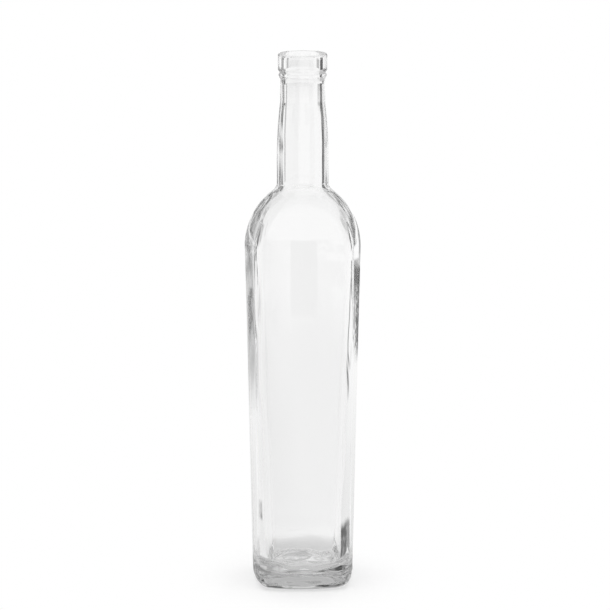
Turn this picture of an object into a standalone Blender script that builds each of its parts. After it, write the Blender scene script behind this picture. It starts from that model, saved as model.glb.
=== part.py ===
"""Clear glass oil bottle: a round neck and mouth on a tall tapered body with a rounded square section.

The bottle is one moulded piece of glass. Its skin is one closed loft of rings, which starts at the
middle of the base, runs up the outside, over the mouth and down the inside to the middle of the floor.
Units are metres, +Z is up, and the origin is the middle of the standing plane.
"""

import math

import bmesh
import bpy

# Overall height, from the standing plane to the sealing land
HEIGHT = 0.294

# Body: widths across opposite faces, at its widest below the shoulder and at the foot
SHOULDER_WIDTH = 0.0630
FOOT_WIDTH = 0.0552
SHOULDER_RADIUS = 0.0392
HEEL_RADIUS = 0.0060

# Section of the body, at its widest and at the foot: radii of its four bulged faces and of its corners
SHOULDER_FACE = 0.0600
FOOT_FACE = 0.0780
SHOULDER_CORNER = 0.0080
FOOT_CORNER = 0.0075
INNER_CORNER = 0.0062

# Base: the flat ring that the bottle stands on, and the hollow inside it
BEARING_WIDTH = 0.0040
PUSH_UP = 0.0025

# Glass thickness of the body and the base
BODY_WALL = 0.0030
HEEL_WALL = 0.0036
BASE_THICKNESS = 0.0110
INNER_HEEL_RADIUS = 0.0070

# Mouth: a tall sealing ring over a groove and a bead, round a straight bore for a stopper
BORE_DIAMETER = 0.0185
MOUTH_WALL = 0.0028
RING_STEP = 0.00125
RING_HEIGHT = 0.0087
GROOVE_DEPTH = 0.00095
GROOVE_HEIGHT = 0.0030
BEAD_STEP = 0.00095
BEAD_HEIGHT = 0.0024
BEAD_ROUNDING = 0.0006
RIM_RADIUS = 0.0011
LIP_RADIUS = 0.0009

# Neck: a straight waist under the mouth that swells like a barrel to the straight lower neck
WAIST_LENGTH = 0.0110
BARREL_RADIUS = 0.235
BARREL_FILLET = 0.020
NECK_SWELL = 0.0018
BORE_SWELL = 0.0012
NECK_STRAIGHT = 0.0150
NECK_FILLET = 0.0048

# Facets round the axis, and rings along each kind of stretch
SEGMENTS = 48
LONG_ARC_STEPS = 8
SHORT_ARC_STEPS = 3
WALL_STEPS = 6
DOME_STEPS = 4

# Sizes that follow from those above
BORE = BORE_DIAMETER / 2
WAIST = BORE + MOUTH_WALL
RING = WAIST + RING_STEP
NECK = WAIST + NECK_SWELL
NECK_BORE = BORE + BORE_SWELL
RING_FOOT = HEIGHT - RING_HEIGHT
BEAD_NOSE = RING_FOOT - GROOVE_HEIGHT
WAIST_TOP = BEAD_NOSE - BEAD_HEIGHT
WAIST_FOOT = WAIST_TOP - WAIST_LENGTH

# Shares of a section, as ring_points takes them, that make it round
ROUND = (1.0, 1.0)


def clear_scene():
    """Removes every object, so that the script starts from an empty scene."""
    for old in list(bpy.data.objects):
        bpy.data.objects.remove(old, do_unlink=True)


def clear_glass():
    """Colourless soda-lime glass."""
    material = bpy.data.materials.new("clear_glass")
    material.use_nodes = True
    shader = material.node_tree.nodes["Principled BSDF"]
    shader.inputs["Base Color"].default_value = (0.93, 0.95, 0.94, 1.0)
    shader.inputs["Roughness"].default_value = 0.02
    shader.inputs["Metallic"].default_value = 0.0
    shader.inputs["IOR"].default_value = 1.52
    shader.inputs["Transmission Weight"].default_value = 1.0
    return material


def arc(centre, radius, start, end, steps):
    """Points (half width, height) on an arc, from one angle to another, both included."""
    angles = [start + (end - start) * i / steps for i in range(steps + 1)]
    return [(centre[0] + radius * math.cos(a), centre[1] + radius * math.sin(a)) for a in angles]


def draw_in_rise(wide, radius, narrow, fillet):
    """Height that drawn_in needs, from the level of its arc's centre to its upright."""
    reach = radius + fillet
    return math.sqrt(reach**2 - (reach - (wide - narrow)) ** 2)


def drawn_in(wide, radius, narrow, fillet, top, start):
    """A convex arc of greatest half width wide, and the concave fillet that turns it upright.

    The fillet ends at half width narrow and height top. The convex arc begins at the angle start.
    """
    meet = math.acos(1 - (wide - narrow) / (radius + fillet))
    middle = (wide - radius, top - draw_in_rise(wide, radius, narrow, fillet))
    convex = arc(middle, radius, start, meet, LONG_ARC_STEPS)
    concave = arc((narrow + fillet, top), fillet, math.pi + meet, math.pi, SHORT_ARC_STEPS)
    return convex + concave[1:]


def neck_foot():
    """Height where the neck begins to flare into the shoulder."""
    return WAIST_FOOT - draw_in_rise(NECK, BARREL_RADIUS, WAIST, BARREL_FILLET) - NECK_STRAIGHT


def shoulder_level():
    """Height of the body's widest section, where the shoulder springs from the wall."""
    return neck_foot() - draw_in_rise(SHOULDER_WIDTH / 2, SHOULDER_RADIUS, NECK, NECK_FILLET)


def between(low, high, steps):
    """Points that divide a straight wall, without its two ends."""
    shares = [i / steps for i in range(1, steps)]
    return [(low[0] + (high[0] - low[0]) * s, low[1] + (high[1] - low[1]) * s) for s in shares]


def body_outline(wide, shoulder, narrow, fillet, heel_middle, heel):
    """Outline of the body from its heel to the top of the shoulder's fillet.

    wide, shoulder, narrow and fillet are as in drawn_in, and heel is the radius of the heel's arc.
    The straight wall between the two arcs is their common tangent.
    """
    top = neck_foot()
    across = wide - shoulder - heel_middle[0]
    rise = top - draw_in_rise(wide, shoulder, narrow, fillet) - heel_middle[1]
    lean = math.acos((heel - shoulder) / math.hypot(across, rise)) - math.atan2(rise, across)
    lower = arc(heel_middle, heel, -math.pi / 2, -lean, 2 * SHORT_ARC_STEPS)
    upper = drawn_in(wide, shoulder, narrow, fillet, top, -lean)
    return lower + between(lower[-1], upper[0], WALL_STEPS) + upper


def outer_body():
    """The outside from the edge of the bearing ring up to the neck."""
    heel_middle = (FOOT_WIDTH / 2 - HEEL_RADIUS, HEEL_RADIUS)
    return body_outline(
        SHOULDER_WIDTH / 2, SHOULDER_RADIUS, NECK, NECK_FILLET, heel_middle, HEEL_RADIUS
    )


def inner_body():
    """The inside of the body, from the edge of the floor up to the neck."""
    heel_middle = (FOOT_WIDTH / 2 - HEEL_WALL - INNER_HEEL_RADIUS, BASE_THICKNESS + INNER_HEEL_RADIUS)
    return body_outline(
        SHOULDER_WIDTH / 2 - BODY_WALL,
        SHOULDER_RADIUS - BODY_WALL,
        NECK_BORE,
        NECK_FILLET + NECK - NECK_BORE,
        heel_middle,
        INNER_HEEL_RADIUS,
    )


def rounded(before, corner, after, radius):
    """Points of a small arc that rounds one corner of an outline between its two neighbours."""
    sides = []
    for other in (before, after):
        across, rise = other[0] - corner[0], other[1] - corner[1]
        length = math.hypot(across, rise)
        sides.append((across / length, rise / length))
    inward = math.atan2(sides[0][1] + sides[1][1], sides[0][0] + sides[1][0])
    half = math.acos(sides[0][0] * sides[1][0] + sides[0][1] * sides[1][1]) / 2
    reach = radius / math.sin(half)
    centre = (corner[0] + reach * math.cos(inward), corner[1] + reach * math.sin(inward))
    turn = math.pi / 2 - half
    if sides[0][0] * sides[1][1] < sides[0][1] * sides[1][0]:
        turn = -turn
    outward = inward + math.pi
    return arc(centre, radius, outward + turn, outward - turn, SHORT_ARC_STEPS)


def outer_neck():
    """The outside from the barrel of the neck up to the sealing land."""
    waist_top = (WAIST, WAIST_TOP)
    bead_nose = (WAIST + BEAD_STEP, BEAD_NOSE)
    groove_root = (RING - GROOVE_DEPTH, (RING_FOOT + BEAD_NOSE) / 2)
    ring_foot = (RING, RING_FOOT)
    ring_top = (RING, HEIGHT)
    land = (BORE, HEIGHT)
    return (
        drawn_in(NECK, BARREL_RADIUS, WAIST, BARREL_FILLET, WAIST_FOOT, 0.0)
        + [waist_top]
        + rounded(waist_top, bead_nose, groove_root, BEAD_ROUNDING)
        + rounded(bead_nose, groove_root, ring_foot, BEAD_ROUNDING)
        + rounded(groove_root, ring_foot, ring_top, BEAD_ROUNDING)
        + rounded(ring_foot, ring_top, land, RIM_RADIUS)
    )


def inner_neck():
    """The inside from the barrel of the neck up to the sealing land, in the same order as outside."""
    barrel = drawn_in(NECK_BORE, BARREL_RADIUS, BORE, BARREL_FILLET, WAIST_FOOT, 0.0)
    return barrel + rounded((BORE, WAIST_FOOT), (BORE, HEIGHT), (RING, HEIGHT), LIP_RADIUS)


def dome(edge, height):
    """Points of a shallow dome over half width edge, from its rim to just short of its middle."""
    shares = [1 - i / DOME_STEPS for i in range(DOME_STEPS)]
    return [(edge * s, height + PUSH_UP * (1 - s * s)) for s in shares]


def growing_round(height, foot, shoulder):
    """A share that runs evenly from its value at the foot to that at the shoulder, and on to 1.

    At 1 the section is round. The share eases to it between the spring of the shoulder and the neck.
    """
    spring, top = shoulder_level(), neck_foot()
    if height <= spring:
        return foot + (shoulder - foot) * height / spring
    rise = min((height - spring) / (top - spring), 1.0)
    ease = (rise * rise * (3 - 2 * rise)) ** 2
    return shoulder + (1.0 - shoulder) * ease


def outer_shares(height):
    """Corner radius to half width, and half width to face radius, of the outside at one height."""
    foot, shoulder = FOOT_WIDTH / 2, SHOULDER_WIDTH / 2
    corner = growing_round(height, FOOT_CORNER / foot, SHOULDER_CORNER / shoulder)
    return corner, growing_round(height, foot / FOOT_FACE, shoulder / SHOULDER_FACE)


def inner_shares(height):
    """The same shares of the inside, whose faces have the same middles as the outer ones."""
    foot, shoulder = FOOT_WIDTH / 2 - HEEL_WALL, SHOULDER_WIDTH / 2 - BODY_WALL
    corner = growing_round(height, INNER_CORNER / foot, INNER_CORNER / shoulder)
    return corner, growing_round(
        height, foot / (FOOT_FACE - HEEL_WALL), shoulder / (SHOULDER_FACE - BODY_WALL)
    )


def section_point(turn, half_width, corner, face):
    """Point of one face and its corner where the surface has turned by an angle from the face's middle.

    The face's arc has its centre on the X axis, and the corner's arc touches it from inside, with its
    centre on the diagonal.
    """
    face_middle = half_width - face
    diagonal = (face_middle + math.sqrt(2 * (face - corner) ** 2 - face_middle**2)) / 2
    if turn <= math.atan2(diagonal, diagonal - face_middle):
        return face_middle + face * math.cos(turn), face * math.sin(turn)
    return diagonal + corner * math.cos(turn), diagonal + corner * math.sin(turn)


def ring_points(half_width, height, shares):
    """One ring of points, at even steps of the direction that the surface looks in."""
    quarter = math.pi / 2
    corner, face = half_width * shares[0], half_width / shares[1]
    points = []
    for i in range(SEGMENTS):
        angle = 2 * math.pi * i / SEGMENTS
        side = quarter * round(angle / quarter)
        x, y = section_point(abs(angle - side), half_width, corner, face)
        y = math.copysign(y, angle - side)
        across, along = math.cos(side), math.sin(side)
        points.append((x * across - y * along, x * along + y * across, height))
    return points


def dome_rings(edge, height, shares):
    """Rings of a dome whose rim has the given shares, and which grows round towards its middle."""
    rings = []
    for half_width, level in dome(edge, height):
        away = half_width / edge
        rings.append(ring_points(half_width, level, [1 + (share - 1) * away for share in shares]))
    return rings


def skin_rings():
    """All rings of the glass, in order from the base's middle to the floor's middle."""
    hollow = FOOT_WIDTH / 2 - HEEL_RADIUS - BEARING_WIDTH
    floor_edge = inner_body()[0][0]
    base = dome_rings(hollow, 0.0, outer_shares(0.0))
    floor = dome_rings(floor_edge, BASE_THICKNESS, inner_shares(BASE_THICKNESS))
    outside = [ring_points(w, h, outer_shares(h)) for w, h in outer_body()]
    outside += [ring_points(w, h, ROUND) for w, h in outer_neck()]
    inside = [ring_points(w, h, ROUND) for w, h in reversed(inner_neck())]
    inside += [ring_points(w, h, inner_shares(h)) for w, h in reversed(inner_body()[1:])]
    return base[::-1] + outside + inside + floor


def build_bottle():
    """Lofts the rings into one closed skin and caps both ends with a fan."""
    mesh = bpy.data.meshes.new("bottle")
    bm = bmesh.new()
    loops = [[bm.verts.new(p) for p in ring] for ring in skin_rings()]
    base_middle = bm.verts.new((0.0, 0.0, PUSH_UP))
    floor_middle = bm.verts.new((0.0, 0.0, BASE_THICKNESS + PUSH_UP))
    for i in range(SEGMENTS):
        j = (i + 1) % SEGMENTS
        bm.faces.new((base_middle, loops[0][j], loops[0][i]))
        for near, far in zip(loops, loops[1:]):
            bm.faces.new((near[i], near[j], far[j], far[i]))
        bm.faces.new((loops[-1][i], loops[-1][j], floor_middle))
    bm.to_mesh(mesh)
    bm.free()
    mesh.shade_smooth()
    mesh.set_sharp_from_angle(angle=math.radians(35))
    mesh.materials.append(clear_glass())
    bottle = bpy.data.objects.new("bottle", mesh)
    bpy.context.collection.objects.link(bottle)


clear_scene()
build_bottle()
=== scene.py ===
"""Looks of the clear glass oil bottle: its fine skin, its glass, and a plain white studio.

Units are metres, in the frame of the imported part: +Z is up, and the origin is the middle of the standing
plane. The camera stands on the -Y side.
"""

import math
from collections import namedtuple

import bpy
import numpy as np
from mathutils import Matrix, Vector, noise


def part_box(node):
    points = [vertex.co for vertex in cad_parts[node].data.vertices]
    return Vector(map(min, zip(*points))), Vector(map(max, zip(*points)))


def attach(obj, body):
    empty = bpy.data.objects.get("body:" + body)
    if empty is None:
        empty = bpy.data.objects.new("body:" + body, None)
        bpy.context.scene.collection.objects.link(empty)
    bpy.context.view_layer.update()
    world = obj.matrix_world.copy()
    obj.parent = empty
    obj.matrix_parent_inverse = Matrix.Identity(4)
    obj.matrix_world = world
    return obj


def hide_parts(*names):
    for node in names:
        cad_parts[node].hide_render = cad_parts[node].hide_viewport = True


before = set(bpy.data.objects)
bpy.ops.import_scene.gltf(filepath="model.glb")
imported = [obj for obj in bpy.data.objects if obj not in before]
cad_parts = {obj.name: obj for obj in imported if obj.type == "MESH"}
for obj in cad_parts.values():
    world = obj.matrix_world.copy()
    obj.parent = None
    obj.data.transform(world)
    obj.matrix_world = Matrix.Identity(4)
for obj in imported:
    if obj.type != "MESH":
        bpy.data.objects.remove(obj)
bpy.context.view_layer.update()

# Overall sizes, read from the part
low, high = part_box("bottle")
HEIGHT = high[2] - low[2]
SHOULDER_WIDTH = high[0] - low[0]

# Body: outline, section and glass thickness
FOOT_WIDTH = 0.0552
SHOULDER_RADIUS = 0.0392
HEEL_RADIUS = 0.0060
SHOULDER_FACE = 0.0600
FOOT_FACE = 0.0780
SHOULDER_CORNER = 0.0080
FOOT_CORNER = 0.0075
INNER_SHOULDER_CORNER = 0.0075
INNER_FOOT_CORNER = 0.0120
BEARING_WIDTH = 0.0040
PUSH_UP = 0.0025
BODY_WALL = 0.0030
HEEL_WALL = 0.0036
BASE_THICKNESS = 0.0110
INNER_HEEL_RADIUS = 0.0070

# Mouth and neck: half widths, heights and small radii
BORE = 0.00925
WAIST = BORE + 0.0028
RING = WAIST + 0.00125
RING_HEIGHT = 0.0087
GROOVE_DEPTH = 0.00095
GROOVE_HEIGHT = 0.0030
BEAD_STEP = 0.00095
BEAD_HEIGHT = 0.0024
BEAD_ROUNDING = 0.0006
RIM_RADIUS = 0.0011
LIP_RADIUS = 0.0009
WAIST_LENGTH = 0.0110
BARREL_RADIUS = 0.235
BARREL_FILLET = 0.020
NECK = WAIST + 0.0018
NECK_BORE = BORE + 0.0012
NECK_STRAIGHT = 0.0150
NECK_FILLET = 0.0048
RING_FOOT = HEIGHT - RING_HEIGHT
BEAD_NOSE = RING_FOOT - GROOVE_HEIGHT
WAIST_TOP = BEAD_NOSE - BEAD_HEIGHT
WAIST_FOOT = WAIST_TOP - WAIST_LENGTH

# Points round each ring, and steps along each kind of stretch
SEGMENTS = 288
WALL_STEPS = 54
SHOULDER_STEPS = 30
BARREL_STEPS = 14
FILLET_STEPS = 8
HEEL_STEPS = 12
ROUNDING_STEPS = 6
DOME_STEPS = 16
WAIST_STEPS = 5
RING_STEPS = 4
BORE_STEPS = 10
BEARING_STEPS = 6

# Shares of a section that make it round: corner radius to half width, and half width to face radius
ROUND = (1.0, 1.0)

# Camera, as fitted to the photograph's outline
CAMERA_DISTANCE = 1.6259
CAMERA_HEIGHT = 0.5283
CAMERA_PITCH = math.radians(12.915)
CAMERA_YAW = math.radians(2.0)
FOCAL_PIXELS = 3052.0
FRAME_PIXELS = 610
AXIS_OFFSET_PIXELS = 2.4
SENSOR = 36.0
VIEW_DEPTH = 50.0

# Waviness of the moulded glass: depth, length across and along the bottle, and the seed of its noise
Wave = namedtuple("Wave", "depth across along seed")
OUTER_WAVE = Wave(0.00003, 0.014, 0.060, 2.2)
FACE_WAVE = Wave(0.00012, 0.015, 0.090, 3.1)
CORNER_WAVE = Wave(0.00030, 0.0060, 0.035, 11.3)
NECK_WAVE = Wave(0.00008, 0.0060, 0.040, 7.7)
FLOOR_WAVE = Wave(0.00240, 0.0100, 0.0070, 5.2)
HEEL_WAVE = Wave(0.00045, 0.0080, 0.0050, 9.4)

# Heights between which each waviness sets in or dies away
OUTER_WAVE_IN = (0.010, 0.030)
INNER_WAVE_IN = (0.009, 0.018)
FLOOR_WAVE_OUT = (BASE_THICKNESS + PUSH_UP, BASE_THICKNESS + 1.6 * INNER_HEEL_RADIUS)
HEEL_WAVE_IN = (0.0, 0.002)
HEEL_WAVE_OUT = (0.010, 0.020)

# Corner waves: where they set in between a face's middle and its corner, and at which corner share they end
CORNER_IN = (0.45, 0.9)
CORNER_OUT = (0.35, 0.9)

# Grooves on the bearing ring: points round it for each, depth, and shares of its width where they die away
KNURL_POINTS = 4
KNURL_DEPTH = 0.00030
KNURL_OUT = (0.2, 0.4)

# The mould's two seams: how far they stand out, and the heights where they set in and die away
SEAM_HEIGHT = 0.00008
SEAM_IN = (0.002, 0.006)
SEAM_OUT = (0.27, 0.28)

# Least distance from the axis, where a direction away from it is asked for
SMALLEST_RADIUS = 1e-6

# The glass: how much light it keeps, and its finest detail
GLASS_INDEX = 1.52
ABSORPTION = 1.2
GLASS_TINT = 0.977
SMEAR_SCALE = 45.0
SMEAR_DETAIL = 3.0
SMEAR_RANGE = (0.50, 0.72)
SMEAR_ROUGHNESS = 0.06
RIPPLE_SCALE = 260.0
RIPPLE_DETAIL = 1.0
RIPPLE_DEPTH = 0.000004
RING_FROST_HEIGHT = 0.0012
FROST_ROUGHNESS = 0.30
STIPPLE_SCALE = 1600.0
STIPPLE_DETAIL = 0.0
STIPPLE_DEPTH = 0.00012

# Limits between whole counts of the glass faces that a ray has passed, or of its turns by reflection
ABOVE_0 = 0.5
ABOVE_1 = 1.5
ABOVE_2 = 2.5
ABOVE_3 = 3.5

# Ways of the rays that can see a card. Passing one wall, or the solid base, takes two faces.
# edge: reflected, or turned once or twice inside one wall
# inside: turned once or twice inside one wall
# solid: in by one face and out by the next, with no turn
# through: past two walls
RAYS = {
    "edge": (
        ("LESS_THAN", "passes", ABOVE_2),
        ("GREATER_THAN", "turns", ABOVE_0),
        ("LESS_THAN", "turns", ABOVE_2),
    ),
    "inside": (
        ("GREATER_THAN", "passes", ABOVE_1),
        ("LESS_THAN", "passes", ABOVE_2),
        ("GREATER_THAN", "turns", ABOVE_0),
        ("LESS_THAN", "turns", ABOVE_2),
    ),
    "solid": (
        ("GREATER_THAN", "passes", ABOVE_1),
        ("LESS_THAN", "passes", ABOVE_2),
        ("LESS_THAN", "turns", ABOVE_0),
    ),
    "through": (("GREATER_THAN", "passes", ABOVE_3),),
}

# Dark cards round the set, seen only by way of the glass. Their glow paints the dark and light streaks
# in the glass as painted reflections. Each has its distance from the axis at its top and at its foot, its
# range of turns off +Y towards +X in degrees, its range of heights, the softness of its ends, the fade and
# the raggedness of its sides in degrees, its darkest and its brightest glow, the lumps per metre of its
# uneven glow, the way of the rays that see it, and how many times flatter than wide the lumps are.
Card = namedtuple(
    "Card", "radius foot turns heights soft fade ragged levels grain rays flat", defaults=(1.0,)
)
CARDS = {
    "body_left": Card(0.45, 0.33, (-60, -22), (0.054, 0.084), 0.006, 3, 30, (0.0, 0.40), 30, "edge", 3.0),
    "body_left_top": Card(
        0.45, 0.33, (-58, -11), (0.097, 0.160), 0.005, 2, 30, (0.15, 0.65), 25, "edge", 2.0
    ),
    "body_left_back": Card(0.47, 0.35, (-58, -11), (0.012, 0.160), 0.025, 2, 0, (0.40, 0.64), 22, "edge"),
    "line_left": Card(0.10, 0.10, (-104, -60), (0.078, 0.150), 0.010, 8, 10, (0.72, 0.88), 60, "inside"),
    "body_right": Card(0.45, 0.45, (6, 56), (0.059, 0.080), 0.003, 3, 40, (0.0, 0.0), 30, "edge", 5.0),
    "body_right_low": Card(0.452, 0.452, (6, 35), (0.016, 0.060), 0.008, 3, 75, (0.0, 0.25), 30, "edge", 9.0),
    "line_right": Card(0.10, 0.10, (76, 84), (0.104, 0.144), 0.006, 3, 4, (0.10, 0.30), 60, "inside"),
    "line_right_top": Card(0.10, 0.10, (58, 76), (0.142, 0.151), 0.004, 4, 4, (0.0, 0.20), 60, "inside"),
    "line_right_low": Card(0.10, 0.10, (82, 93), (0.086, 0.104), 0.006, 4, 4, (0.25, 0.50), 60, "inside"),
    "edge_right": Card(0.46, 0.46, (6, 27), (0.082, 0.147), 0.006, 3, 0, (0.25, 0.45), 30, "edge"),
    "shoulder_left": Card(1.20, 1.20, (-40, -9), (0.140, 0.600), 0.020, 2, 6, (0.05, 0.85), 9, "edge"),
    "shoulder_inner": Card(1.20, 1.20, (-68, -36), (0.140, 0.600), 0.020, 6, 6, (0.0, 0.25), 9, "edge"),
    "shoulder_right": Card(1.20, 1.20, (10, 35), (0.140, 0.600), 0.020, 2, 8, (0.0, 0.80), 9, "edge"),
    "neck_left": Card(0.45, 0.45, (-50, -21), (0.175, 0.215), 0.010, 2, 0, (0.14, 0.46), 30, "edge"),
    "neck_right": Card(0.45, 0.45, (34, 64), (0.140, 0.215), 0.008, 4, 20, (0.0, 0.35), 20, "edge"),
    "finish_left": Card(0.45, 0.45, (-49, -17), (0.205, 0.262), 0.004, 4, 0, (0.25, 0.45), 30, "edge"),
    "finish_right": Card(0.45, 0.45, (35, 68), (0.205, 0.262), 0.004, 4, 0, (0.0, 0.10), 30, "edge"),
    "mouth_left": Card(0.45, 0.45, (-32, -18), (0.130, 0.262), 0.004, 4, 4, (0.30, 0.50), 20, "through"),
    "mouth_right": Card(0.45, 0.45, (18, 46), (0.200, 0.238), 0.018, 11, 10, (0.10, 0.40), 20, "through"),
    "mouth_middle": Card(0.47, 0.47, (-26, 18), (0.200, 0.280), 0.012, 14, 0, (0.84, 0.90), 10, "through"),
    "heel_left": Card(0.034, 0.034, (-27, -8), (0.0, 0.005), 0.001, 3, 6, (0.40, 0.65), 200, "solid"),
    "heel_left_top": Card(0.0345, 0.0345, (-27, -8), (0.006, 0.014), 0.001, 3, 6, (0.05, 0.30), 200, "solid"),
    "heel_right": Card(0.034, 0.034, (8, 34), (0.0, 0.012), 0.002, 3, 6, (0.02, 0.25), 200, "solid"),
    "corner_left": Card(0.10, 0.10, (8, 48), (0.0, 0.009), 0.003, 4, 6, (0.45, 0.62), 60, "solid"),
    "corner_right": Card(0.10, 0.10, (-48, -6), (0.0, 0.012), 0.003, 4, 6, (0.10, 0.40), 60, "solid"),
    "foot_left": Card(0.10, 0.10, (-90, -76), (0.010, 0.022), 0.002, 2, 0, (0.25, 0.25), 60, "inside"),
    "foot_right": Card(0.045, 0.045, (83, 130), (0.006, 0.029), 0.003, 3, 10, (0.10, 0.30), 110, "inside"),
    "front": Card(0.052, 0.052, (166, 194), (0.150, 0.204), 0.001, 1, 0, (0.08, 0.08), 9, "edge"),
}

# Cards: steps round each, their painted glow's unevenness, and the distance from which an edge card has a
# twin
CARD_STEPS = 12
CARD_DETAIL = 2.0
CARD_GRAIN = (0.45, 0.61)
GRAIN_MIDDLE = 0.5
TWIN_FROM = 0.1

# Floor as the camera sees it: paper with the bottle's shadow near the axis, and plain white further off
FLOOR_SIZE = 12.0
FLOOR_DROP = 0.0003
PAPER = 0.9
PAPER_REACH = (0.030, 0.075)
PAPER_GLOW = 0.6

# Floor as it shows through two walls, in painted shade: darker under the bottle, a little dimmer on the left
UNDER_REACH = (0.030, 0.085)
UNDER_LEVEL = 0.68
LEFT_REACH = (-0.024, 0.014)
LEFT_LEVEL = 0.945

# Floor as one wall shows it, in painted shade: dim near the bottle, darker under the heel's front and back,
# and dark in front, which paints a dark reflection in the glass
LOW_REACH = (0.10, 0.60)
LOW_LEVEL = 0.85
HEEL_REACH = (0.040, 0.060)
HEEL_SPLIT = (-0.010, 0.010)
HEEL_FRONT = 0.68
HEEL_BACK = 0.50
FRONT_REACH = (0.48, 0.74)
FRONT_LEVEL = 0.10
BEHIND_FROM = (-0.20, -0.05)

# Surroundings: their light on the object, and how they dim upwards behind it where the glass shows them
WORLD_LEVEL = 0.8
SKY_RISE = (0.04, 0.20)
SKY_LEVEL = 0.50
SKY_BACK = (-0.2, 0.2)

# Lamp over the set
LAMP_WATTS = 30.0
LAMP_SIZE = 2.5
LAMP_HEIGHT = 2.2

# How often light may turn in the glass, whose corners need many turns
ALL_BOUNCES = 128
GLASS_BOUNCES = 120


def arc(centre, radius, start, end, steps):
    """Points (half width, height) on an arc, both ends included."""
    angles = np.linspace(start, end, steps + 1)
    return [(centre[0] + radius * math.cos(a), centre[1] + radius * math.sin(a)) for a in angles]


def draw_in_rise(wide, radius, narrow, fillet):
    """Height from the level of a convex arc's centre to the end of the fillet that turns it upright."""
    span = radius + fillet
    return math.sqrt(span**2 - (span - (wide - narrow)) ** 2)


def drawn_in(wide, radius, narrow, fillet, top, start, steps):
    """A convex arc of greatest half width wide, and the concave fillet that turns it upright."""
    meet = math.acos(1 - (wide - narrow) / (radius + fillet))
    middle = (wide - radius, top - draw_in_rise(wide, radius, narrow, fillet))
    convex = arc(middle, radius, start, meet, steps)
    return convex + arc((narrow + fillet, top), fillet, math.pi + meet, math.pi, FILLET_STEPS)[1:]


# Heights where the neck begins to flare, and where the shoulder springs from the wall
NECK_FOOT = WAIST_FOOT - draw_in_rise(NECK, BARREL_RADIUS, WAIST, BARREL_FILLET) - NECK_STRAIGHT
SPRING = NECK_FOOT - draw_in_rise(SHOULDER_WIDTH / 2, SHOULDER_RADIUS, NECK, NECK_FILLET)


def between(start, end, steps):
    """Points that divide a straight stretch, without its two ends."""
    shares = [i / steps for i in range(1, steps)]
    return [(start[0] + (end[0] - start[0]) * s, start[1] + (end[1] - start[1]) * s) for s in shares]


def body_outline(wide, shoulder, narrow, fillet, heel_middle, heel):
    """Outline of the body from its heel to the top of the shoulder's fillet."""
    across = wide - shoulder - heel_middle[0]
    rise = NECK_FOOT - draw_in_rise(wide, shoulder, narrow, fillet) - heel_middle[1]
    lean = math.acos((heel - shoulder) / math.hypot(across, rise)) - math.atan2(rise, across)
    lower = arc(heel_middle, heel, -math.pi / 2, -lean, HEEL_STEPS)
    upper = drawn_in(wide, shoulder, narrow, fillet, NECK_FOOT, -lean, SHOULDER_STEPS)
    return lower + between(lower[-1], upper[0], WALL_STEPS) + upper


def outer_body():
    """The outside from the edge of the bearing ring up to the neck."""
    heel_middle = (FOOT_WIDTH / 2 - HEEL_RADIUS, HEEL_RADIUS)
    return body_outline(SHOULDER_WIDTH / 2, SHOULDER_RADIUS, NECK, NECK_FILLET, heel_middle, HEEL_RADIUS)


def inner_body():
    """The inside of the body, from the edge of the floor up to the neck."""
    heel_middle = (FOOT_WIDTH / 2 - HEEL_WALL - INNER_HEEL_RADIUS, BASE_THICKNESS + INNER_HEEL_RADIUS)
    return body_outline(
        SHOULDER_WIDTH / 2 - BODY_WALL,
        SHOULDER_RADIUS - BODY_WALL,
        NECK_BORE,
        NECK_FILLET + NECK - NECK_BORE,
        heel_middle,
        INNER_HEEL_RADIUS,
    )


def rounded(before, corner, after, radius):
    """Points of a small arc that rounds one corner of an outline between its two neighbours."""
    sides = []
    for other in (before, after):
        across, rise = other[0] - corner[0], other[1] - corner[1]
        length = math.hypot(across, rise)
        sides.append((across / length, rise / length))
    inward = math.atan2(sides[0][1] + sides[1][1], sides[0][0] + sides[1][0])
    half = math.acos(sides[0][0] * sides[1][0] + sides[0][1] * sides[1][1]) / 2
    reach = radius / math.sin(half)
    centre = (corner[0] + reach * math.cos(inward), corner[1] + reach * math.sin(inward))
    turn = math.pi / 2 - half
    if sides[0][0] * sides[1][1] < sides[0][1] * sides[1][0]:
        turn = -turn
    outward = inward + math.pi
    return arc(centre, radius, outward + turn, outward - turn, ROUNDING_STEPS)


def outer_neck():
    """The outside from the barrel of the neck up to the sealing land."""
    waist_top = (WAIST, WAIST_TOP)
    bead_nose = (WAIST + BEAD_STEP, BEAD_NOSE)
    groove_root = (RING - GROOVE_DEPTH, (RING_FOOT + BEAD_NOSE) / 2)
    ring_foot = (RING, RING_FOOT)
    ring_top = (RING, HEIGHT)
    land = (BORE, HEIGHT)
    barrel = drawn_in(NECK, BARREL_RADIUS, WAIST, BARREL_FILLET, WAIST_FOOT, 0.0, BARREL_STEPS)
    foot = rounded(groove_root, ring_foot, ring_top, BEAD_ROUNDING)
    top = rounded(ring_foot, ring_top, land, RIM_RADIUS)
    return (
        barrel
        + between(barrel[-1], waist_top, WAIST_STEPS)
        + [waist_top]
        + rounded(waist_top, bead_nose, groove_root, BEAD_ROUNDING)
        + rounded(bead_nose, groove_root, ring_foot, BEAD_ROUNDING)
        + foot
        + between(foot[-1], top[0], RING_STEPS)
        + top
    )


def inner_neck():
    """The inside from the barrel of the neck up to the sealing land."""
    barrel = drawn_in(NECK_BORE, BARREL_RADIUS, BORE, BARREL_FILLET, WAIST_FOOT, 0.0, BARREL_STEPS)
    lip = rounded((BORE, WAIST_FOOT), (BORE, HEIGHT), (RING, HEIGHT), LIP_RADIUS)
    return barrel + between(barrel[-1], lip[0], BORE_STEPS) + lip


def growing_round(height, foot, shoulder):
    """A share that runs evenly from foot to shoulder, and eases to 1, a round section, at the neck."""
    if height <= SPRING:
        return foot + (shoulder - foot) * height / SPRING
    rise = min((height - SPRING) / (NECK_FOOT - SPRING), 1.0)
    ease = (rise * rise * (3 - 2 * rise)) ** 2
    return shoulder + (1.0 - shoulder) * ease


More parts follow.
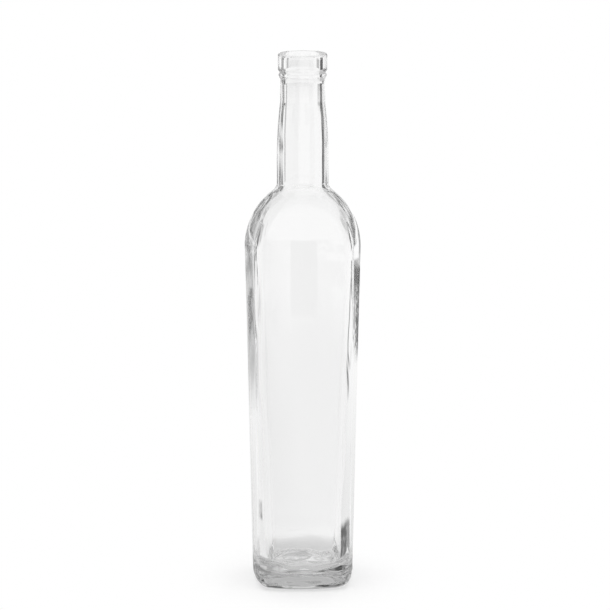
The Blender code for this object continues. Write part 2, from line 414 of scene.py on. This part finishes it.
def outer_shares(height):
    """Corner radius to half width, and half width to face radius, of the outside at one height."""
    foot, shoulder = FOOT_WIDTH / 2, SHOULDER_WIDTH / 2
    corner = growing_round(height, FOOT_CORNER / foot, SHOULDER_CORNER / shoulder)
    return corner, growing_round(height, foot / FOOT_FACE, shoulder / SHOULDER_FACE)


def inner_shares(height):
    """The same shares of the inside."""
    foot, shoulder = FOOT_WIDTH / 2 - HEEL_WALL, SHOULDER_WIDTH / 2 - BODY_WALL
    corner = growing_round(height, INNER_FOOT_CORNER / foot, INNER_SHOULDER_CORNER / shoulder)
    face = growing_round(height, foot / (FOOT_FACE - HEEL_WALL), shoulder / (SHOULDER_FACE - BODY_WALL))
    return corner, face


def surface_turn(away, face, corner, meet):
    """How far the surface has turned at points whose steps are even partly in direction, partly in length."""
    eighth = math.pi / 4
    length_to_meet = face * meet
    length = length_to_meet + corner * (eighth - meet)
    run = away / eighth * length
    on_face = run / face
    on_corner = meet + (run - length_to_meet) / corner
    by_length = np.where(run <= length_to_meet, on_face, on_corner)
    return (by_length + away) / 2


def section(half_width, shares):
    """Points of one section: four bulged faces, each between two corner arcs that touch it."""
    corner, face = half_width * shares[0], half_width / shares[1]
    face_middle = half_width - face
    diagonal = (face_middle + math.sqrt(max(2 * (face - corner) ** 2 - face_middle**2, 0.0))) / 2
    meet = math.atan2(diagonal, diagonal - face_middle)
    quarter = math.pi / 2
    even = np.arange(SEGMENTS) * 2 * math.pi / SEGMENTS
    side = np.round(even / quarter)
    part_turn = even - side * quarter
    turn = surface_turn(np.abs(part_turn), face, corner, meet)
    is_face = turn <= meet
    x = np.where(is_face, face_middle + face * np.cos(turn), diagonal + corner * np.cos(turn))
    y = np.where(is_face, face * np.sin(turn), diagonal + corner * np.sin(turn))
    y = np.copysign(y, part_turn)
    across, along = np.cos(side * quarter), np.sin(side * quarter)
    return np.stack([x * across - y * along, x * along + y * across], axis=1)


def dome(edge, height, shares):
    """Rings (half width, height, shares) of a shallow dome, from its rim to just short of its middle."""
    rings = []
    for i in range(DOME_STEPS):
        away = 1 - i / DOME_STEPS
        level = height + PUSH_UP * (1 - away * away)
        rings.append((edge * away, level, [1 + (s - 1) * away for s in shares]))
    return rings


def outer_rings():
    """Rings (half width, height, shares) from the base's middle up the outside to the sealing land."""
    hollow = FOOT_WIDTH / 2 - HEEL_RADIUS - BEARING_WIDTH
    shares = outer_shares(0.0)
    widths = np.linspace(hollow, hollow + BEARING_WIDTH, BEARING_STEPS + 1)[1:-1]
    rings = dome(hollow, 0.0, shares)[::-1] + [(w, 0.0, shares) for w in widths]
    rings += [(w, h, outer_shares(h)) for w, h in outer_body()]
    return rings + [(w, h, ROUND) for w, h in outer_neck()]


def inner_rings():
    """Rings (half width, height, shares) from the sealing land down the inside to the floor's middle."""
    body = inner_body()
    rings = [(w, h, ROUND) for w, h in reversed(inner_neck())]
    rings += [(w, h, inner_shares(h)) for w, h in reversed(body[1:])]
    return rings + dome(body[0][0], BASE_THICKNESS, inner_shares(BASE_THICKNESS))


def smooth(value, low, high):
    """0 below low, 1 above high, and an even ease between."""
    share = np.clip((value - low) / (high - low), 0.0, 1.0)
    return share * share * (3 - 2 * share)


def wave(points, height, kind):
    """Depth of one kind of waviness at each point of a ring."""
    level = height / kind.along + kind.seed
    places = [Vector((x / kind.across, y / kind.across, level)) for x, y in points]
    return kind.depth * np.array([noise.noise(place) for place in places])


def outward(points):
    """Directions away from the axis at the points of a ring."""
    return points / np.maximum(np.hypot(points[:, 0], points[:, 1]), SMALLEST_RADIUS)[:, None]


def corner_weight(shares):
    """How near each point of a ring is to a corner: 0 at the faces' middles and on round rings."""
    quarter = math.pi / 2
    turn = np.arange(SEGMENTS) * 2 * math.pi / SEGMENTS
    away = np.abs(turn - np.round(turn / quarter) * quarter) / (quarter / 2)
    return smooth(away, *CORNER_IN) * (1 - smooth(shares[0], *CORNER_OUT))


def waved_inside(points, height, shares):
    """One inner ring with the waviness of the blown side, as points (x, y, z)."""
    neck = smooth(height, SPRING, NECK_FOOT)
    push = wave(points, height, FACE_WAVE) + wave(points, height, NECK_WAVE) * neck
    push += corner_weight(shares) * wave(points, height, CORNER_WAVE)
    moved = points + outward(points) * push[:, None] * smooth(height, *INNER_WAVE_IN)
    near_floor = 1 - smooth(height, *FLOOR_WAVE_OUT)
    level = height + near_floor * wave(points, 0.0, FLOOR_WAVE)
    return np.column_stack([moved, level])


def waved_outside(points, height):
    """One outer ring with the slight waviness of the mould side, as points (x, y, z)."""
    heel = smooth(height, *HEEL_WAVE_IN) * (1 - smooth(height, *HEEL_WAVE_OUT))
    push = wave(points, height, OUTER_WAVE) * smooth(height, *OUTER_WAVE_IN)
    push += heel * wave(points, height, HEEL_WAVE)
    push[[0, SEGMENTS // 2]] += SEAM_HEIGHT * smooth(height, *SEAM_IN) * (1 - smooth(height, *SEAM_OUT))
    level = np.full(len(points), height)
    if height == 0.0:
        level += knurls(points)
    return np.column_stack([points + outward(points) * push[:, None], level])


def knurls(points):
    """Height of the fine radial grooves across the middle of the bearing ring."""
    middle = FOOT_WIDTH / 2 - HEEL_RADIUS - BEARING_WIDTH / 2
    away = abs(np.max(np.abs(points[:, 0])) - middle)
    first, last = (BEARING_WIDTH * share for share in KNURL_OUT)
    ridge = 0.5 - 0.5 * np.cos(np.arange(len(points)) * 2 * math.pi / KNURL_POINTS)
    return KNURL_DEPTH * (1 - smooth(away, first, last)) * ridge


def skin_faces(count):
    """Faces between the rings, with a fan at each end to the first point and to the last."""
    faces = []
    end = 1 + (count - 1) * SEGMENTS
    for i in range(SEGMENTS):
        j = (i + 1) % SEGMENTS
        faces.append((0, 1 + j, 1 + i))
        for k in range(count - 1):
            a, b = 1 + k * SEGMENTS, 1 + (k + 1) * SEGMENTS
            faces.append((a + i, a + j, b + j, b + i))
        faces.append((end + i, end + j, end + SEGMENTS))
    return faces


def build_glass():
    """The bottle's fine skin as one closed mesh."""
    outside, inside = outer_rings(), inner_rings()
    points = [(0.0, 0.0, PUSH_UP)]
    for half_width, height, shares in outside:
        points.extend(waved_outside(section(half_width, shares), height))
    for half_width, height, shares in inside:
        points.extend(waved_inside(section(half_width, shares), height, shares))
    points.append((0.0, 0.0, BASE_THICKNESS + PUSH_UP))
    mesh = bpy.data.meshes.new("glass_bottle")
    mesh.from_pydata([tuple(p) for p in points], [], skin_faces(len(outside) + len(inside)))
    mesh.update()
    mesh.shade_smooth()
    bottle = bpy.data.objects.new("glass_bottle", mesh)
    bpy.context.collection.objects.link(bottle)
    return bottle


def math_node(tree, operation, first, second):
    """One calculation on two sockets or numbers."""
    node = tree.nodes.new("ShaderNodeMath")
    node.operation = operation
    for socket, value in zip(node.inputs, (first, second)):
        if isinstance(value, (int, float)):
            socket.default_value = value
        else:
            tree.links.new(value, socket)
    return node.outputs[0]


def product_node(tree, first, *others):
    """The product of two or more sockets."""
    for other in others:
        first = math_node(tree, "MULTIPLY", first, other)
    return first


def ramp_node(tree, value, reach, first, last):
    """A soft ramp of a value: first up to the reach's start, last from its end."""
    node = tree.nodes.new("ShaderNodeMapRange")
    node.interpolation_type = "SMOOTHSTEP"
    tree.links.new(value, node.inputs["Value"])
    for name, number in (("From Min", reach[0]), ("From Max", reach[1]), ("To Min", first), ("To Max", last)):
        node.inputs[name].default_value = number
    return node.outputs[0]


def noise_node(tree, place, scale, detail):
    """One noise with lumps of about 1 / scale metres."""
    node = tree.nodes.new("ShaderNodeTexNoise")
    node.inputs["Scale"].default_value = scale
    node.inputs["Detail"].default_value = detail
    tree.links.new(place, node.inputs["Vector"])
    return node.outputs[0]


def axes_node(tree, place):
    """The X, Y and Z of a place, by name."""
    node = tree.nodes.new("ShaderNodeSeparateXYZ")
    tree.links.new(place, node.inputs[0])
    return node.outputs


def glass_relief(tree, place, standing):
    """A fine ripple all over, and a stipple on the standing ring, with heights in metres."""
    swell = noise_node(tree, place, RIPPLE_SCALE, RIPPLE_DETAIL)
    ripple = math_node(tree, "MULTIPLY", swell, RIPPLE_DEPTH)
    dots = noise_node(tree, place, STIPPLE_SCALE, STIPPLE_DETAIL)
    stipple = math_node(tree, "MULTIPLY", dots, STIPPLE_DEPTH)
    relief = tree.nodes.new("ShaderNodeBump")
    relief.inputs["Distance"].default_value = 1.0
    height = math_node(tree, "ADD", ripple, product_node(tree, stipple, standing))
    tree.links.new(height, relief.inputs["Height"])
    return relief.outputs[0]


def glass_material():
    """Colourless glass: faint smears, a fine ripple, and a frosted, stippled standing ring."""
    material = bpy.data.materials.new("clear_glass")
    material.use_nodes = True
    tree = material.node_tree
    shader = tree.nodes["Principled BSDF"]
    shader.inputs["Base Color"].default_value = (GLASS_TINT, GLASS_TINT, GLASS_TINT, 1.0)
    shader.inputs["IOR"].default_value = GLASS_INDEX
    shader.inputs["Transmission Weight"].default_value = 1.0
    place = tree.nodes.new("ShaderNodeTexCoord").outputs["Object"]
    standing = ramp_node(tree, axes_node(tree, place)["Z"], (0.0, RING_FROST_HEIGHT), 1.0, 0.0)
    lumps = noise_node(tree, place, SMEAR_SCALE, SMEAR_DETAIL)
    smears = ramp_node(tree, lumps, SMEAR_RANGE, 0.0, SMEAR_ROUGHNESS)
    frost = math_node(tree, "MULTIPLY", standing, FROST_ROUGHNESS)
    tree.links.new(math_node(tree, "MAXIMUM", smears, frost), shader.inputs["Roughness"])
    tree.links.new(glass_relief(tree, place, standing), shader.inputs["Normal"])
    depth = tree.nodes.new("ShaderNodeVolumeAbsorption")
    depth.inputs["Color"].default_value = (0.0, 0.0, 0.0, 1.0)
    depth.inputs["Density"].default_value = ABSORPTION
    tree.links.new(depth.outputs[0], tree.nodes["Material Output"].inputs["Volume"])
    return material


def through_share(tree, path):
    """1 for rays that went past two walls of glass, and 0 for all others."""
    return math_node(tree, "GREATER_THAN", path.outputs["Transmission Depth"], ABOVE_3)


def seen_in_glass(tree, path):
    """1 for rays that reach the studio by way of the glass."""
    return math_node(tree, "MAXIMUM", path.outputs["Is Transmission Ray"], path.outputs["Is Glossy Ray"])


def floor_through(tree, axes, distance):
    """Brightness of the floor through two walls, with shade painted under the bottle and on the left."""
    around = ramp_node(tree, distance, UNDER_REACH, UNDER_LEVEL, 1.0)
    left = ramp_node(tree, axes["X"], LEFT_REACH, LEFT_LEVEL, 1.0)
    return product_node(tree, left, around)


def floor_turned(tree, path, axes, distance):
    """Floor brightness with painted shade, as one wall shows it. In front, it is dark only to rays of few
    turns.
    """
    many_turns = math_node(tree, "GREATER_THAN", path.outputs["Glossy Depth"], ABOVE_2)
    far = ramp_node(tree, distance, FRONT_REACH, FRONT_LEVEL, 1.0)
    behind = ramp_node(tree, axes["Y"], BEHIND_FROM, 0.0, 1.0)
    front = math_node(tree, "MAXIMUM", math_node(tree, "MAXIMUM", many_turns, far), behind)
    near = ramp_node(tree, distance, LOW_REACH, LOW_LEVEL, 1.0)
    heel = ramp_node(tree, axes["Y"], HEEL_SPLIT, HEEL_FRONT, HEEL_BACK)
    middle = math_node(tree, "MAXIMUM", heel, ramp_node(tree, distance, HEEL_REACH, 0.0, 1.0))
    return product_node(tree, near, middle, front)


def floor_level(tree, path, place, distance):
    """Brightness of the floor as the glass shows it, with its painted shade."""
    axes = axes_node(tree, place)
    through = product_node(tree, through_share(tree, path), floor_through(tree, axes, distance))
    one_wall = math_node(tree, "SUBTRACT", 1.0, through_share(tree, path))
    turned = product_node(tree, one_wall, floor_turned(tree, path, axes, distance))
    return math_node(tree, "ADD", through, turned)


def mixed(tree, share, first, second):
    """Two shaders mixed by a share, as the material's surface."""
    mix = tree.nodes.new("ShaderNodeMixShader")
    tree.links.new(share, mix.inputs[0])
    tree.links.new(first.outputs[0], mix.inputs[1])
    tree.links.new(second.outputs[0], mix.inputs[2])
    out = tree.nodes.new("ShaderNodeOutputMaterial")
    tree.links.new(mix.outputs[0], out.inputs[0])


def floor_material():
    """White paper that keeps the bottle's shadow close to it, and shows plain white further off."""
    material = bpy.data.materials.new("white_floor")
    material.use_nodes = True
    tree = material.node_tree
    tree.nodes.clear()
    paper = tree.nodes.new("ShaderNodeBsdfDiffuse")
    paper.inputs["Color"].default_value = (PAPER, PAPER, PAPER, 1.0)
    place = tree.nodes.new("ShaderNodeNewGeometry").outputs["Position"]
    away = tree.nodes.new("ShaderNodeVectorMath")
    away.operation = "LENGTH"
    tree.links.new(place, away.inputs[0])
    distance = away.outputs["Value"]
    path = tree.nodes.new("ShaderNodeLightPath")
    in_glass = seen_in_glass(tree, path)
    # To the glass the floor glows, with shade painted into its level, instead of showing lit paper
    level = product_node(tree, in_glass, floor_level(tree, path, place, distance))
    glow = tree.nodes.new("ShaderNodeEmission")
    tree.links.new(math_node(tree, "MAXIMUM", level, path.outputs["Is Camera Ray"]), glow.inputs["Strength"])
    far = ramp_node(tree, distance, PAPER_REACH, PAPER_GLOW, 1.0)
    by_camera = product_node(tree, path.outputs["Is Camera Ray"], far)
    mixed(tree, math_node(tree, "MAXIMUM", by_camera, in_glass), paper, glow)
    return material


def build_floor():
    """A white floor just under the standing plane."""
    bpy.ops.mesh.primitive_plane_add(size=FLOOR_SIZE, location=(0, 0, -FLOOR_DROP))
    floor = bpy.context.object
    floor.name = "floor"
    floor.data.materials.append(floor_material())


def card_sides(tree, card, place, grain):
    """How far a card shows between its two ragged sides, by the turn from its middle."""
    first, last = (math.radians(turn) for turn in card.turns)
    fade, ragged = math.radians(card.fade), math.radians(card.ragged)
    middle = (first + last) / 2
    turned = tree.nodes.new("ShaderNodeVectorRotate")
    turned.rotation_type = "Z_AXIS"
    turned.inputs["Angle"].default_value = middle
    tree.links.new(place, turned.inputs["Vector"])
    beside = axes_node(tree, turned.outputs[0])
    shift = math_node(tree, "MULTIPLY", math_node(tree, "SUBTRACT", grain, GRAIN_MIDDLE), ragged)
    turn = math_node(tree, "ADD", math_node(tree, "ARCTAN2", beside["X"], beside["Y"]), shift)
    first, last = first - middle, last - middle
    after = ramp_node(tree, turn, (first, first + fade), 0.0, 1.0)
    before = ramp_node(tree, turn, (last - fade, last), 1.0, 0.0)
    return product_node(tree, after, before)


def card_share(tree, card, place, grain):
    """Where a card shows: between its soft ends and sides, and only to rays that come its way."""
    low, high = card.heights
    height = axes_node(tree, place)["Z"]
    over = ramp_node(tree, height, (low - card.soft, low + card.soft), 0.0, 1.0)
    under = ramp_node(tree, height, (high - card.soft, high + card.soft), 1.0, 0.0)
    share = product_node(tree, over, under, card_sides(tree, card, place, grain))
    path = tree.nodes.new("ShaderNodeLightPath")
    counts = {"passes": path.outputs["Transmission Depth"], "turns": path.outputs["Glossy Depth"]}
    for operation, count, limit in RAYS[card.rays]:
        share = product_node(tree, share, math_node(tree, operation, counts[count], limit))
    return share


def card_material(name, card):
    """Uneven glow for a painted reflection, between two levels, and clear where the card doesn't show."""
    material = bpy.data.materials.new(name)
    material.use_nodes = True
    tree = material.node_tree
    tree.nodes.clear()
    place = tree.nodes.new("ShaderNodeNewGeometry").outputs["Position"]
    flatten = tree.nodes.new("ShaderNodeVectorMath")
    flatten.operation = "MULTIPLY"
    flatten.inputs[1].default_value = (1.0, 1.0, card.flat)
    tree.links.new(place, flatten.inputs[0])
    grain = noise_node(tree, flatten.outputs[0], card.grain, CARD_DETAIL)
    glow = tree.nodes.new("ShaderNodeEmission")
    tree.links.new(ramp_node(tree, grain, CARD_GRAIN, *card.levels), glow.inputs["Strength"])
    clear = tree.nodes.new("ShaderNodeBsdfTransparent")
    mixed(tree, card_share(tree, card, place, grain), clear, glow)
    return material


def build_card(name, card):
    """A curved card beside the set, seen only by way of the glass, where its glow paints a reflection."""
    points, faces = [], []
    first, last = card.turns
    bottom, top = max(card.heights[0] - card.soft, 0.0), card.heights[1] + card.soft
    for i in range(CARD_STEPS + 1):
        turn = math.radians(first + (last - first) * i / CARD_STEPS)
        across, along = math.sin(turn), math.cos(turn)
        points += [(r * across, r * along, z) for r, z in ((card.foot, bottom), (card.radius, top))]
        if i < CARD_STEPS:
            n = len(points) - 2
            faces.append((n, n + 1, n + 3, n + 2))
    mesh = bpy.data.meshes.new(name)
    mesh.from_pydata(points, [], faces)
    mesh.materials.append(card_material(name, card))
    piece = bpy.data.objects.new(name, mesh)
    bpy.context.collection.objects.link(piece)
    piece.visible_camera = False
    piece.visible_diffuse = False
    piece.visible_shadow = False


def twin(card):
    """The same card on the camera's side, kept out of plain reflections, for looks at the bottle's back."""
    first, last = card.turns
    return card._replace(turns=(180 - last, 180 - first), rays="inside")


def build_cards():
    """All cards, with a twin for each edge card that stands well away from the bottle."""
    for name, card in CARDS.items():
        build_card(name, card)
        if card.rays == "edge" and card.radius > TWIN_FROM:
            build_card(name + "_twin", twin(card))


def sky_level(tree, path):
    """Brightness of the surroundings as the glass shows them. Reflections and straight looks stay plain."""
    direction = tree.nodes.new("ShaderNodeTexCoord")
    axes = axes_node(tree, direction.outputs["Generated"])
    up = ramp_node(tree, axes["Z"], SKY_RISE, 1.0, SKY_LEVEL)
    sky = math_node(tree, "MAXIMUM", up, ramp_node(tree, axes["Y"], SKY_BACK, 1.0, 0.0))
    reflected = math_node(tree, "LESS_THAN", path.outputs["Transmission Depth"], ABOVE_0)
    unturned = math_node(tree, "LESS_THAN", path.outputs["Glossy Depth"], ABOVE_0)
    straight = product_node(tree, unturned, through_share(tree, path))
    plain = math_node(tree, "MAXIMUM", reflected, straight)
    return math_node(tree, "MAXIMUM", sky, plain)


def build_world():
    """White surroundings that dim upwards where the glass shows them, as a ceiling over a lit table does."""
    world = bpy.data.worlds.new("studio")
    bpy.context.scene.world = world
    world.use_nodes = True
    tree = world.node_tree
    background = tree.nodes["Background"]
    background.inputs["Color"].default_value = (1, 1, 1, 1)
    path = tree.nodes.new("ShaderNodeLightPath")
    level = product_node(tree, seen_in_glass(tree, path), sky_level(tree, path))
    lit = math_node(tree, "MULTIPLY", path.outputs["Is Diffuse Ray"], WORLD_LEVEL)
    seen = math_node(tree, "MAXIMUM", level, path.outputs["Is Camera Ray"])
    tree.links.new(math_node(tree, "MAXIMUM", lit, seen), background.inputs["Strength"])


def build_lamp():
    """A large soft lamp over the set, which the glass doesn't show."""
    lamp = bpy.data.lights.new("top_lamp", "AREA")
    lamp.size = LAMP_SIZE
    lamp.energy = LAMP_WATTS
    holder = bpy.data.objects.new("top_lamp", lamp)
    holder.location = (0, 0, LAMP_HEIGHT)
    holder.visible_transmission = False
    holder.visible_glossy = False
    bpy.context.collection.objects.link(holder)


def build_camera():
    """The camera at the photograph's viewing angle."""
    camera = bpy.data.cameras.new("camera")
    camera.sensor_width = SENSOR
    camera.lens = SENSOR * FOCAL_PIXELS / FRAME_PIXELS
    camera.clip_end = VIEW_DEPTH
    holder = bpy.data.objects.new("camera", camera)
    holder.location = (
        -CAMERA_DISTANCE * math.sin(CAMERA_YAW),
        -CAMERA_DISTANCE * math.cos(CAMERA_YAW),
        CAMERA_HEIGHT,
    )
    aim = -CAMERA_YAW - math.atan(AXIS_OFFSET_PIXELS / FOCAL_PIXELS)
    holder.rotation_euler = (math.pi / 2 - CAMERA_PITCH, 0, aim)
    bpy.context.collection.objects.link(holder)
    bpy.context.scene.camera = holder


bottle = build_glass()
bottle.data.materials.append(glass_material())
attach(bottle, "root")
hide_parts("bottle")
build_floor()
build_cards()
build_world()
build_lamp()
build_camera()
bpy.context.scene.view_settings.view_transform = "Standard"
bpy.context.scene.cycles.max_bounces = ALL_BOUNCES
bpy.context.scene.cycles.glossy_bounces = GLASS_BOUNCES
bpy.context.scene.cycles.transmission_bounces = GLASS_BOUNCES
